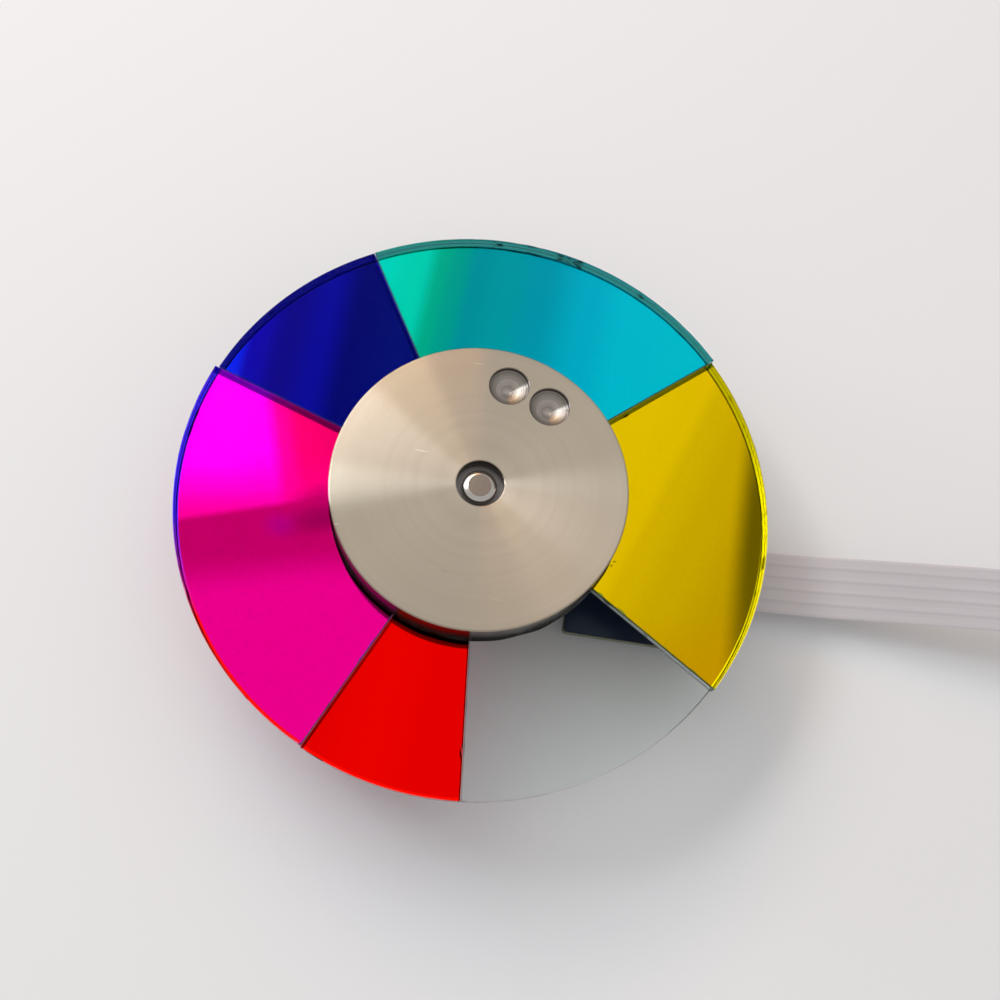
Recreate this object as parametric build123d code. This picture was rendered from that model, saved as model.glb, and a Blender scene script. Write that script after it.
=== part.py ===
from build123d import *
import os
from math import cos, radians, sin, sqrt, tan

# Projector color wheel on its flat brushless motor. Millimetres and degrees.
# The origin is the centre of the motor base's bottom face, +Z is the spin axis, and the board's
# tail and the flat cable leave towards +X.

# Colored glass
wheel_radius = 22.0
glass_thickness = 1.1
glass_seat_width = 2.9
edge_seam = 0.06
first_edge_angle = -32.2
yellow_angle = 72.3
cyan_angle = 80.3
blue_angle = 41.4
magenta_angle = 83.0
red_angle = 30.3
joint_gap = 0.08

# The sheets are cut to the wheel's radius but glued a little askew, so the rim steps at the joints.
yellow_askew = 0.20
cyan_askew = 0.24
blue_askew = -0.10
magenta_askew = 0.25
blue_trim = 0.15
red_trim = 0.06
clear_trim = 0.08

# Base plate
base_inset = 0.6
base_thickness = 1.6
base_edge_break = 0.3
screw_hole_radius = 0.8
screw_rim_distance = 2.4
screw_count = 3
screw_first_angle = 60.0
screw_lead_in = 0.15

# Circuit board
board_thickness = 0.8
board_overhang = 0.2
board_neck_width = 11.0
tail_start = 8.35
tail_length = 20.4
tail_width = 13.5
tail_offset = -0.86
board_corner = 0.35
board_housing_clearance = 0.15
screw_relief_radius = 1.2

# Shaft and retaining washer
shaft_radius = 1.25
shaft_recess = 0.5
shaft_end_break = 0.4
shaft_cone_height = 0.25
shaft_end_float = 0.04
groove_depth = 0.35
groove_width = 0.34
groove_rise = 0.5
washer_radius = 2.0
washer_thickness = 0.3
washer_split = 0.4
washer_fit = 0.01

# Bearing
housing_bore_radius = 2.5
housing_wall = 0.5
housing_rise = 0.55
sleeve_clearance = 0.02
sleeve_washer_gap = 0.26
thrust_cover_thickness = 0.5
thrust_pad_clearance = 0.3
thrust_pad_thickness = 0.35

# Stator
tooth_count = 9
core_radius = 7.25
core_height = 2.2
core_rise = 1.2
core_fit = 0.01
yoke_share = 0.593
tooth_width = 1.4
shoe_depth = 0.7
slot_angle = 6.5
insulator_thickness = 0.35
insulator_inset = 0.15
insulator_housing_clearance = 0.1
coil_end_clearance = 0.1
coil_build = 0.62
coil_head = 0.45
coil_corner = 0.5
coil_fit = 0.01

# Magnet, rotor cup and timing tape
air_gap = 0.25
magnet_thickness = 1.1
magnet_height = 3.3
cup_wall = 0.6
cup_lip = 0.1
cup_corner = 0.9
cup_coil_gap = 0.6
tape_thickness = 0.05
tape_spread_angle = 18.0
tape_place_angle = 201.0
tape_height = 2.6

# Hub
hub_flange_overhang = 0.2
hub_flange_thickness = 1.0
hub_glass_clearance = 0.1
hub_pilot_rise = 0.6
hub_boss_radius = 2.6
hub_boss_rise = 1.36
hub_edge_break = 0.15
rivet_radius = 2.5
rivet_lip_width = 0.35
rivet_lip_height = 0.4

# Glue
glue_thickness = 0.1
glue_bead_width = 0.2
glue_bead_height = 0.24

# Balance cap
cap_radius = 10.85
cap_height = 2.36
cap_edge_break = 0.12
cap_hole_radius = 1.73
cap_hole_break = 0.14
cap_seat_clearance = 0.05
dimple_radius = 1.48
dimple_wall = 0.32
dimple_tip_angle = 118.0
dimple_place_radius = 8.05
dimple_angles = (58.2, 82.5)

# Winding leads and their solder
lead_places = (-3.0, -0.75, 0.75, 3.0)
lead_radius = 0.1
lead_inset = 0.2
lead_pad_distance = 3.5
lead_joint_length = 1.3
lead_joint_width = 0.9
lead_joint_height = 0.4
lead_joint_slope = 0.2

# Flat cable. The route's points lie on the ribbon's middle, as distances from the spin axis and heights.
cable_width = 5.0
cable_thickness = 0.2
cable_angle = 2.0
conductor_count = 4
conductor_pitch = 1.0
conductor_width = 0.7
cable_joint_length = 1.9
cable_joint_width = 0.9
cable_joint_depth = 0.34
cable_joint_slope = 0.2
stiffener_length = 10.0
stiffener_thickness = 0.2
contact_length = 4.0
contact_thickness = 0.1
cable_route = [
    (14.8, 1.5), (25.2, 1.5), (35.4, 3.6), (45.4, 5.3), (55.2, 4.5),
    (64.6, 2.4), (73.4, 0.7), (82.0, 0.3), (89.8, 0.3),
]

# Heights, from the base upwards
board_top = base_thickness + board_thickness
core_bottom = board_top + core_rise
core_middle = core_bottom + core_height / 2
core_top = core_bottom + core_height
wound_height = core_height + 2 * insulator_thickness
coil_height = wound_height + 2 * coil_head
coil_bottom = core_middle - coil_height / 2
housing_top = core_top + housing_rise
magnet_bottom = core_middle - magnet_height / 2
cup_mouth = magnet_bottom - cup_lip
cup_ceiling = core_middle + coil_height / 2 + cup_coil_gap
flange_bottom = cup_ceiling + cup_wall
flange_top = flange_bottom + hub_flange_thickness
glass_underside = flange_top + glue_thickness
glass_top = glass_underside + glass_thickness
pilot_top = glass_top + hub_pilot_rise
boss_top = glass_top + hub_boss_rise
cap_bottom = glass_top + glue_thickness
cap_top = cap_bottom + cap_height
thrust_pad_top = thrust_cover_thickness + thrust_pad_thickness
shaft_bottom = thrust_pad_top + shaft_end_float
shaft_top = cap_top - shaft_recess
groove_bottom = thrust_pad_top + groove_rise
groove_top = groove_bottom + groove_width
sleeve_bottom = groove_top + sleeve_washer_gap

# Radii and angles, from the shaft outwards
housing_radius = housing_bore_radius + housing_wall
yoke_radius = yoke_share * core_radius
shoulder_radius = (housing_radius + yoke_radius) / 2
coil_inner_radius = yoke_radius + coil_end_clearance
coil_width = tooth_width + 2 * coil_build
shoe_radius = core_radius - shoe_depth
coil_outer_radius = sqrt(shoe_radius ** 2 - (coil_width / 2) ** 2) - coil_end_clearance
magnet_bore_radius = core_radius + air_gap
cup_bore_radius = magnet_bore_radius + magnet_thickness
cup_radius = cup_bore_radius + cup_wall
base_radius = cup_radius - base_inset
screw_circle_radius = base_radius - screw_rim_distance
hub_flange_radius = cup_radius + hub_flange_overhang
glass_hole_radius = hub_flange_radius - glass_seat_width
pilot_radius = glass_hole_radius - hub_glass_clearance
groove_radius = shaft_radius - groove_depth
lead_start = coil_inner_radius + lead_inset
lead_end = cable_route[0][0] - lead_pad_distance
tooth_pitch = 360 / tooth_count
clear_angle = 360 - yellow_angle - cyan_angle - blue_angle - magenta_angle - red_angle


# Sides of a block that its position refers to
LOW = Align.MIN
MIDDLE = Align.CENTER
HIGH = Align.MAX


def turned(outline):
    """Ring or disc turned about the spin axis, from a closed outline of (radius, height) points."""
    edge = Polyline(*[(radius, 0, height) for radius, height in outline], close=True)
    return revolve(make_face(edge), Axis.Z)


def tube(outer, inner, low, high):
    """Plain ring between two radii and two heights."""
    return turned([(inner, low), (outer, low), (outer, high), (inner, high)])


def around(shape, count, first_angle=0.0):
    """Copies of a shape, evenly spaced about the spin axis."""
    return [Rot(0, 0, first_angle + 360 / count * i) * shape for i in range(count)]


def rim_edges(shape, radius, height):
    """The round edges of a turned shape at one radius and height."""
    rounds = shape.edges().filter_by(GeomType.CIRCLE)
    return [e for e in rounds if abs(e.radius - radius) < 1e-4 and abs(e.center().Z - height) < 1e-4]


def wedge(start, span, gap, reach):
    """Flat triangle between two radial lines, each pulled in by half the gap."""
    middle = radians(start + span / 2)
    tip = gap / 2 / sin(radians(span / 2))
    tip_point = (tip * cos(middle), tip * sin(middle))
    corners = [tip_point]
    for angle in (radians(start), radians(start + span)):
        corners.append((tip_point[0] + reach * cos(angle), tip_point[1] + reach * sin(angle)))
    return Polygon(*corners, align=None)


def filter_sector(start, span, askew=0.0, trim=0.0):
    """One glass sector with its upper edges seamed; its rim's centre is shifted along the rim by askew."""
    middle = radians(start + span / 2)
    rim = Pos(askew * sin(middle), -askew * cos(middle)) * Circle(wheel_radius - trim)
    outline = (rim - Circle(glass_hole_radius)) & wedge(start, span, joint_gap, 3 * wheel_radius)
    glass = extrude(outline, glass_thickness)
    return Pos(0, 0, glass_underside) * chamfer(glass.edges().group_by(Axis.Z)[-1], edge_seam)


def filter_ring():
    """The six sectors in their order round the hub, anticlockwise seen from above."""
    sheets = {
        "filter_yellow": (yellow_angle, yellow_askew, 0.0),
        "filter_cyan": (cyan_angle, cyan_askew, 0.0),
        "filter_blue": (blue_angle, blue_askew, blue_trim),
        "filter_magenta": (magenta_angle, magenta_askew, 0.0),
        "filter_red": (red_angle, 0.0, red_trim),
        "filter_clear": (clear_angle, 0.0, clear_trim),
    }
    sectors = {}
    angle = first_edge_angle
    for name, (span, askew, trim) in sheets.items():
        sectors[name] = filter_sector(angle, span, askew, trim)
        angle += span
    return sectors


def hub():
    """Carrier turned in one piece: rivet boss below, flange, pilot for the glass, boss for the cap."""
    rivet_lip_radius = rivet_radius + rivet_lip_width
    carrier = turned([
        (shaft_radius, cup_ceiling - rivet_lip_height),
        (rivet_lip_radius, cup_ceiling - rivet_lip_height),
        (rivet_lip_radius, cup_ceiling),
        (rivet_radius, cup_ceiling),
        (rivet_radius, flange_bottom),
        (hub_flange_radius, flange_bottom),
        (hub_flange_radius, flange_top),
        (pilot_radius, flange_top),
        (pilot_radius, pilot_top),
        (hub_boss_radius, pilot_top),
        (hub_boss_radius, boss_top),
        (shaft_radius, boss_top),
    ])
    return chamfer(rim_edges(carrier, hub_flange_radius, flange_bottom), hub_edge_break)


def lower_glue():
    """Film between the hub's flange and the glass."""
    return tube(hub_flange_radius - glue_bead_width, glass_hole_radius, flange_top, glass_underside)


def upper_glue():
    """Film under the cap, squeezed out into a small bead round the cap's foot."""
    return turned([
        (glass_hole_radius, glass_top),
        (cap_radius + glue_bead_width, glass_top),
        (cap_radius, glass_top + glue_bead_height),
        (cap_radius, cap_bottom),
        (glass_hole_radius, cap_bottom),
    ])


def balance_cap():
    """Turned disc, counterbored over the hub's pilot and boss, with two drilled balance dimples."""
    boss_seat_radius = hub_boss_radius + cap_seat_clearance
    boss_seat_top = boss_top + cap_seat_clearance
    pilot_seat_radius = pilot_radius + cap_seat_clearance
    pilot_seat_top = pilot_top + cap_seat_clearance
    cap = turned([
        (pilot_seat_radius, cap_bottom),
        (cap_radius, cap_bottom),
        (cap_radius, cap_top - cap_edge_break),
        (cap_radius - cap_edge_break, cap_top),
        (cap_hole_radius + cap_hole_break, cap_top),
        (cap_hole_radius, cap_top - cap_hole_break),
        (cap_hole_radius, boss_seat_top),
        (boss_seat_radius, boss_seat_top),
        (boss_seat_radius, pilot_seat_top),
        (pilot_seat_radius, pilot_seat_top),
    ])
    tip_depth = dimple_radius / tan(radians(dimple_tip_angle / 2))
    drill = turned([
        (0, cap_top - dimple_wall - tip_depth),
        (dimple_radius, cap_top - dimple_wall),
        (dimple_radius, cap_top + dimple_wall),
        (0, cap_top + dimple_wall),
    ])
    for angle in dimple_angles:
        cap -= Rot(0, 0, angle) * Pos(dimple_place_radius, 0, 0) * drill
    return cap


def shaft():
    """Ground pin with a blunt conical thrust end, a washer groove and a broken top edge."""
    return turned([
        (0, shaft_bottom),
        (shaft_radius, shaft_bottom + shaft_cone_height),
        (shaft_radius, groove_bottom),
        (groove_radius, groove_bottom),
        (groove_radius, groove_top),
        (shaft_radius, groove_top),
        (shaft_radius, shaft_top - shaft_end_break),
        (shaft_radius - shaft_end_break, shaft_top),
        (0, shaft_top),
    ])


def retaining_washer():
    """Split washer lying in the shaft's groove, below the sleeve."""
    low = groove_bottom + (groove_width - washer_thickness) / 2
    ring = tube(washer_radius, groove_radius + washer_fit, low, low + washer_thickness)
    split = Box(2 * washer_radius, washer_split, washer_thickness, align=(LOW, MIDDLE, LOW))
    return ring - Pos(0, 0, low) * split


def rotor_cup():
    """Drawn steel cup, open downwards: its shoulder eased in two slopes, a hole for the rivet boss."""
    shoulder = cup_corner * (1 - cos(radians(45)))
    return turned([
        (rivet_radius, cup_ceiling),
        (cup_bore_radius, cup_ceiling),
        (cup_bore_radius, cup_mouth),
        (cup_radius, cup_mouth),
        (cup_radius, flange_bottom - cup_corner),
        (cup_radius - shoulder, flange_bottom - shoulder),
        (cup_radius - cup_corner, flange_bottom),
        (rivet_radius, flange_bottom),
    ])


def magnet_ring():
    """Bonded ring magnet in the cup."""
    return tube(cup_bore_radius, magnet_bore_radius, magnet_bottom, magnet_bottom + magnet_height)


def timing_tape():
    """Thin black patch on the side of the cup."""
    middle = (cup_mouth + flange_bottom - cup_corner) / 2
    band = tube(cup_radius + tape_thickness, cup_radius, middle - tape_height / 2, middle + tape_height / 2)
    piece = extrude(wedge(tape_place_angle, tape_spread_angle, 0, 2 * cup_radius), flange_bottom)
    return band & piece


def base_plate():
    """Turned disc with a press hole for the bearing housing and three tapped holes."""
    plate = turned([
        (housing_radius, 0),
        (base_radius - base_edge_break, 0),
        (base_radius, base_edge_break),
        (base_radius, base_thickness),
        (housing_radius, base_thickness),
    ])
    hole = turned([
        (0, 0),
        (screw_hole_radius + screw_lead_in, 0),
        (screw_hole_radius, screw_lead_in),
        (screw_hole_radius, base_thickness),
        (0, base_thickness),
    ])
    for drill in around(Pos(screw_circle_radius, 0, 0) * hole, screw_count, screw_first_angle):
        plate -= drill
    return plate


def bearing_housing():
    """Brass tube with a shoulder that carries the stator core."""
    return turned([
        (housing_bore_radius, 0),
        (housing_radius, 0),
        (housing_radius, board_top),
        (shoulder_radius, board_top),
        (shoulder_radius, core_bottom),
        (housing_radius, core_bottom),
        (housing_radius, housing_top),
        (housing_bore_radius, housing_top),
    ])


def bearing_sleeve():
    """Plain sintered sleeve that the shaft turns in."""
    return tube(housing_bore_radius, shaft_radius + sleeve_clearance, sleeve_bottom, housing_top)


def thrust_cover():
    """Disc that closes the bottom of the bearing housing."""
    return tube(housing_bore_radius, 0, 0, thrust_cover_thickness)


def thrust_pad():
    """Disc that the shaft's end turns on."""
    radius = housing_bore_radius - thrust_pad_clearance
    return tube(radius, 0, thrust_cover_thickness, thrust_pad_top)


def circuit_board():
    """Round board under the stator, with a neck and a wide tail towards the cable."""
    neck_length = (tail_start + tail_length) / 2
    neck = Pos(neck_length / 2, 0) * Rectangle(neck_length, board_neck_width)
    tail_middle = (tail_start + tail_length) / 2
    tail = RectangleRounded(tail_length - tail_start, tail_width, board_corner)
    tail = Pos(tail_middle, tail_offset) * tail
    outline = Circle(base_radius + board_overhang) + neck + tail
    outline -= Circle(housing_radius + board_housing_clearance)
    relief = Pos(screw_circle_radius, 0) * Circle(screw_relief_radius)
    for hole in around(relief, screw_count, screw_first_angle):
        outline -= hole
    return Pos(0, 0, base_thickness) * extrude(outline, board_thickness)


def stator_outline(outer_radius, hole_radius):
    """Yoke, teeth and tooth shoes, seen from above."""
    tooth_length = shoe_radius - housing_radius
    tooth = Pos(housing_radius + tooth_length / 2, 0) * Rectangle(tooth_length, tooth_width)
    shoe_angle = tooth_pitch - slot_angle
    shoe_sides = wedge(-shoe_angle / 2, shoe_angle, 0, 2 * core_radius)
    back = Pos(shoe_radius, 0) * Rectangle(2 * core_radius, 2 * core_radius, align=(LOW, MIDDLE))
    shoe = Circle(outer_radius) & back & shoe_sides
    outline = Circle(yoke_radius)
    for limb in around(tooth, tooth_count) + around(shoe, tooth_count):
        outline += limb
    return outline - Circle(hole_radius)


def stator_core():
    """Bonded stack of stamped laminations on the bearing housing."""
    lamination = stator_outline(core_radius, housing_radius + core_fit)
    return Pos(0, 0, core_bottom) * extrude(lamination, core_height)


def insulator():
    """Moulded end plate that follows the core."""
    hole_radius = shoulder_radius + insulator_housing_clearance
    return extrude(stator_outline(core_radius - insulator_inset, hole_radius), insulator_thickness)


def upper_insulator():
    return Pos(0, 0, core_top) * insulator()


def lower_insulator():
    return Pos(0, 0, core_bottom) * Rot(180, 0, 0) * insulator()


def coil_windings():
    """Nine coils, each wound round one tooth and its insulators."""
    window = Rectangle(tooth_width + 2 * coil_fit, wound_height + 2 * coil_fit)
    face = chamfer(Rectangle(coil_width, coil_height).vertices(), coil_corner) - window
    at_tooth = Plane((coil_inner_radius, 0, core_middle), x_dir=(0, 1, 0), z_dir=(1, 0, 0))
    coil = extrude(at_tooth * face, coil_outer_radius - coil_inner_radius)
    return around(coil, tooth_count)


def winding_leads():
    """Wires from the undersides of the coils, sloping out under the cup to their pads on the board."""
    leads = []
    for side in lead_places:
        start = Vector(lead_start, side, coil_bottom - lead_radius)
        end = Vector(lead_end, side, board_top + lead_radius)
        section = Plane(start, z_dir=(1, 0, 0)) * Circle(lead_radius)
        leads.append(extrude(section, (end - start).length, dir=end - start))
    return leads


def lead_joints():
    """Solder at the ends of the leads, heaped up on oblong pads."""
    heap = Box(lead_joint_length, lead_joint_width, lead_joint_height, align=(LOW, MIDDLE, LOW))
    heap = chamfer(heap.edges().group_by(Axis.Z)[-1], lead_joint_slope)
    return [Pos(lead_end, side, board_top) * heap for side in lead_places]


def along_cable(shape):
    """Places a shape made on the cable's own line, which swings a little from the board's end."""
    return Pos(tail_length, tail_offset, 0) * Rot(0, 0, cable_angle) * Pos(-tail_length, 0, 0) * shape


def arc_radii(points):
    """Radius at each corner of a route: 0.45 of its shorter run over the tangent of half the turn."""
    spots = [Vector(x, 0, z) for x, z in points]
    radii = []
    for before, corner, after in zip(spots, spots[1:], spots[2:]):
        turn = (corner - before).get_angle(after - corner)
        shorter = min((corner - before).length, (after - corner).length)
        radii.append(0.45 * shorter / tan(radians(turn / 2)))
    return radii


def flat_cable():
    """White ribbon: soldered under the tail, rising in a low arch and coming down to lie flat."""
    radii = arc_radii(cable_route)
    path = FilletPolyline(*[(x, 0, z) for x, z in cable_route], radius=radii)
    start_x, start_z = cable_route[0]
    across = Plane((start_x, 0, start_z), x_dir=(0, 1, 0), z_dir=(1, 0, 0))
    ribbon = sweep(across * Rectangle(cable_width, cable_thickness), path=path)
    volume_ratio = ribbon.volume / (path.length * cable_width * cable_thickness)
    print("cable arc radii", [round(r, 1) for r in radii])
    print("cable length", round(path.length, 2), "volume over section times length", volume_ratio)
    return along_cable(ribbon)


def conductor_places():
    """Sideways places of the cable's conductors."""
    return [(i - (conductor_count - 1) / 2) * conductor_pitch for i in range(conductor_count)]


def cable_joints():
    """Solder under the board at the near ends of the conductors."""
    end = cable_route[0][0]
    blob = Box(cable_joint_length, cable_joint_width, cable_joint_depth, align=(HIGH, MIDDLE, HIGH))
    blob = chamfer(blob.edges().group_by(Axis.Z)[0], cable_joint_slope)
    return [along_cable(Pos(end, side, base_thickness) * blob) for side in conductor_places()]


def cable_stiffener():
    """Blue tape under the far end of the cable."""
    end = cable_route[-1][0] + contact_length
    tape = Box(stiffener_length, cable_width, stiffener_thickness, align=(HIGH, MIDDLE, LOW))
    return along_cable(Pos(end, 0, 0) * tape)


def cable_contacts():
    """Bare tinned conductor ends on the stiffener."""
    start = cable_route[-1][0]
    finger = Box(contact_length, conductor_width, contact_thickness, align=(LOW, MIDDLE, LOW))
    return [along_cable(Pos(start, side, stiffener_thickness) * finger) for side in conductor_places()]


def save(name, shape):
    """Writes one node; a group of separate solids goes in as a compound."""
    pieces = shape if isinstance(shape, list) else [shape]
    solids = [solid for piece in pieces for solid in piece.solids()]
    node = solids[0] if len(solids) == 1 else Compound(children=solids)
    export_step(node, f"parts/{name}.step")


def main():
    os.makedirs("parts", exist_ok=True)
    nodes = {
        "base_plate": base_plate(),
        "bearing_housing": bearing_housing(),
        "bearing_sleeve": bearing_sleeve(),
        "thrust_cover": thrust_cover(),
        "thrust_pad": thrust_pad(),
        "circuit_board": circuit_board(),
        "stator_core": stator_core(),
        "upper_insulator": upper_insulator(),
        "lower_insulator": lower_insulator(),
        "coil_windings": coil_windings(),
        "winding_leads": winding_leads(),
        "lead_joints": lead_joints(),
        "flat_cable": flat_cable(),
        "cable_joints": cable_joints(),
        "cable_stiffener": cable_stiffener(),
        "cable_contacts": cable_contacts(),
        "shaft": shaft(),
        "retaining_washer": retaining_washer(),
        "hub": hub(),
        "rotor_cup": rotor_cup(),
        "magnet_ring": magnet_ring(),
        "timing_tape": timing_tape(),
        "lower_glue": lower_glue(),
        "upper_glue": upper_glue(),
        "balance_cap": balance_cap(),
    }
    nodes.update(filter_ring())
    for name, shape in nodes.items():
        save(name, shape)


main()
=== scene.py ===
from math import atan2, cos, hypot, pi, radians, sin, sqrt, tan

import bmesh
import bpy
from mathutils import Matrix, Vector, noise


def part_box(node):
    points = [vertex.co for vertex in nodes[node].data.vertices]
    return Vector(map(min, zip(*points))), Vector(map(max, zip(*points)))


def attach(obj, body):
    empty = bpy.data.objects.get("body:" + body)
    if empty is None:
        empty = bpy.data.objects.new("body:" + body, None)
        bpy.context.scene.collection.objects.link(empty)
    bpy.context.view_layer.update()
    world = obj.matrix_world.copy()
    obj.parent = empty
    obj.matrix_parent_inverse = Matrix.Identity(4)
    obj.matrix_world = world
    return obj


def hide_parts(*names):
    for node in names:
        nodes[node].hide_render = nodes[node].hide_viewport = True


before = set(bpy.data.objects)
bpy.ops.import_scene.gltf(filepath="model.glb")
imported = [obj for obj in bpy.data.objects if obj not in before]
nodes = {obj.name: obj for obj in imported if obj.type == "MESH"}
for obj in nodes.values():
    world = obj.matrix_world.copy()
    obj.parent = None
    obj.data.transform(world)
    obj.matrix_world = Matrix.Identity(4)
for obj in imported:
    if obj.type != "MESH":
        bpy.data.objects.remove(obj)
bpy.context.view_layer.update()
MM = 0.001


# Base plate. The motor stands on a disc turned from aluminium bar, with a press hole for the
# bearing housing and three M2 holes tapped from below. Its faces keep the fine rings of the tool,
# and its outer edges are broken.
def linear(code):
    """Scene-linear RGBA of an sRGB hex colour."""
    channels = [int(code[i:i + 2], 16) / 255 for i in (1, 3, 5)]
    return [c / 12.92 if c <= 0.04045 else ((c + 0.055) / 1.055) ** 2.4 for c in channels] + [1.0]


def add(tree, kind, settings=None, inputs=None):
    """Adds a node with its settings. An input that is a socket is linked, so is the first output of
    one that is a node, and any other is a plain value."""
    node = tree.nodes.new(kind)
    for key, value in (settings or {}).items():
        setattr(node, key, value)
    for key, value in (inputs or {}).items():
        value = value.outputs[0] if isinstance(value, bpy.types.Node) else value
        if isinstance(value, bpy.types.NodeSocket):
            tree.links.new(value, node.inputs[key])
        else:
            node.inputs[key].default_value = value
    return node


def empty_material(name):
    material = bpy.data.materials.new(name)
    material.use_nodes = True
    material.node_tree.nodes.clear()
    return material, material.node_tree


def surface(material, shader):
    """A material finished with its shader."""
    add(material.node_tree, "ShaderNodeOutputMaterial", {}, {"Surface": shader})
    return material


def turned_metal(name, colour, shade, roughness, ring_width, ring_depth, anisotropy=0.0,
                 painted_side_shade=None, side_roughness=None, cone=0.0, axis=(0, 0), wear=0.0):
    """Metal from a lathe or drill: rings about an upright axis at a place in mm, a tone that drifts
    between two colours, a face that falls outwards by the cone's slope, upright sides painted in a
    darker colour of their own as shade, and short dark and light scratches here and there."""
    material, tree = empty_material(name)
    place = add(tree, "ShaderNodeTexCoord").outputs["Object"]
    own = add(tree, "ShaderNodeVectorMath", {"operation": "SUBTRACT"},
              {0: place, 1: (axis[0] * MM, axis[1] * MM, 0)})
    axes = add(tree, "ShaderNodeSeparateXYZ", {}, {0: own})
    flat = add(tree, "ShaderNodeVectorMath", {"operation": "MULTIPLY"}, {0: own, 1: (1, 1, 0)})
    radius = add(tree, "ShaderNodeVectorMath", {"operation": "LENGTH"}, {0: flat})
    along = add(tree, "ShaderNodeMath", {"operation": "ADD"},
                {0: radius.outputs["Value"], 1: axes.outputs["Z"]})
    rings = add(tree, "ShaderNodeTexNoise", {"noise_dimensions": "1D"},
                {"W": along, "Scale": 1 / (ring_width * MM), "Detail": 2.0, "Roughness": 0.6})
    cut = add(tree, "ShaderNodeMath", {"operation": "MULTIPLY"}, {0: rings, 1: ring_depth * MM})
    fall = add(tree, "ShaderNodeMath", {"operation": "MULTIPLY_ADD"},
               {0: radius.outputs["Value"], 1: -cone, 2: cut})
    bump = add(tree, "ShaderNodeBump", {}, {"Height": fall, "Distance": 1.0, "Strength": 1.0})
    drift = add(tree, "ShaderNodeTexNoise", {"noise_dimensions": "1D"},
                {"W": along, "Scale": 0.3 / (ring_width * MM), "Detail": 4.0})
    tone = add(tree, "ShaderNodeMix", {"data_type": "RGBA"},
               {"Factor": drift, 6: linear(colour), 7: linear(shade)})
    marks = [(0.6, 6.667, 1.25, "#80766B"), (1.3, 11.111, 1.0, "#F4ECE0")] if wear else []
    for angle, length, spacing, shade_of_mark in marks:
        strewn = add(tree, "ShaderNodeMapping", {}, {
            0: flat, "Rotation": (0, 0, angle), "Scale": (1 / (length * MM), 1 / (spacing * MM), 0)})
        cells = add(tree, "ShaderNodeTexVoronoi", {}, {"Vector": strewn, "Scale": 1.0})
        mark = add(tree, "ShaderNodeMapRange", {}, {
            "Value": cells.outputs["Distance"], "From Min": 0.01, "From Max": 0.06,
            "To Min": wear, "To Max": 0.0})
        tone = add(tree, "ShaderNodeMix", {"data_type": "RGBA"},
                   {"Factor": mark, 6: tone.outputs[2], 7: linear(shade_of_mark)})
    normal = add(tree, "ShaderNodeNewGeometry").outputs["True Normal"]
    facing = add(tree, "ShaderNodeSeparateXYZ", {}, {0: normal})
    upright = add(tree, "ShaderNodeMath", {"operation": "ABSOLUTE"}, {0: facing.outputs["Z"]})
    gloss = roughness
    if side_roughness:
        gloss = add(tree, "ShaderNodeMapRange", {},
                    {"Value": upright, "To Min": side_roughness, "To Max": roughness})
    # Upright faces take the side colour, or else the darker shade colour: painted shade on the sides.
    level = add(tree, "ShaderNodeMapRange", {}, {"Value": upright, "From Max": 0.5})
    tone = add(tree, "ShaderNodeMix", {"data_type": "RGBA"},
               {"Factor": level, 6: linear(painted_side_shade or shade), 7: tone.outputs[2]})
    across = add(tree, "ShaderNodeVectorMath", {"operation": "CROSS_PRODUCT"}, {0: (0, 0, 1), 1: own})
    tangent = add(tree, "ShaderNodeVectorTransform",
                  {"vector_type": "VECTOR", "convert_from": "OBJECT", "convert_to": "WORLD"},
                  {0: across})
    metal = add(tree, "ShaderNodeBsdfPrincipled", {}, {
        "Base Color": tone.outputs[2], "Metallic": 1.0, "Roughness": gloss, "Anisotropic": anisotropy,
        "Anisotropic Rotation": 0.25, "Normal": bump, "Tangent": tangent})
    return surface(material, metal)


def eased(outline, ease):
    """A closed (radius, height) outline with each corner off the axis rounded over three points."""
    points = []
    count = len(outline)
    for i, corner in enumerate(outline):
        spot = Vector(corner)
        before = Vector(outline[i - 1]) - spot
        after = Vector(outline[(i + 1) % count]) - spot
        if ease == 0 or corner[0] < 1e-6:
            points.append(spot)
            continue
        reach = min(ease, 0.4 * before.length, 0.4 * after.length)
        first = spot + before.normalized() * reach
        last = spot + after.normalized() * reach
        points += [first, (first + last) / 4 + spot / 2, last]
    return points


def turned_mesh(name, outline, ease=0.04, steps=192):
    """Ring or disc turned about Z from a closed outline in mm."""
    form = bmesh.new()
    loops = []
    for radius, height in eased(outline, ease):
        if radius < 1e-6:
            loops.append([form.verts.new((0, 0, height * MM))] * steps)
            continue
        turns = [2 * pi * i / steps for i in range(steps)]
        loops.append([form.verts.new((radius * MM * cos(a), radius * MM * sin(a), height * MM))
                      for a in turns])
    for inner, outer in zip(loops, loops[1:] + loops[:1]):
        for i in range(steps):
            j = (i + 1) % steps
            corners = list(dict.fromkeys([inner[i], inner[j], outer[j], outer[i]]))
            if len(corners) > 2:
                form.faces.new(corners)
    bmesh.ops.recalc_face_normals(form, faces=form.faces)
    return mesh_of(name, form)


def shaded(mesh, angle=35.0):
    """A mesh shaded smooth except over its sharp edges."""
    mesh.shade_smooth()
    mesh.set_sharp_from_angle(angle=radians(angle))
    return mesh


def mesh_of(name, form, angle=35.0):
    """Mesh of a finished form."""
    mesh = bpy.data.meshes.new(name)
    form.to_mesh(mesh)
    form.free()
    return shaded(mesh, angle)


def linked(name, data):
    """An object in the scene, at the origin."""
    thing = bpy.data.objects.new(name, data)
    bpy.context.scene.collection.objects.link(thing)
    return thing


def settled(thing):
    """Plain mesh of an object as its modifiers leave it."""
    return bpy.data.meshes.new_from_object(thing.evaluated_get(bpy.context.evaluated_depsgraph_get()))


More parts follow.
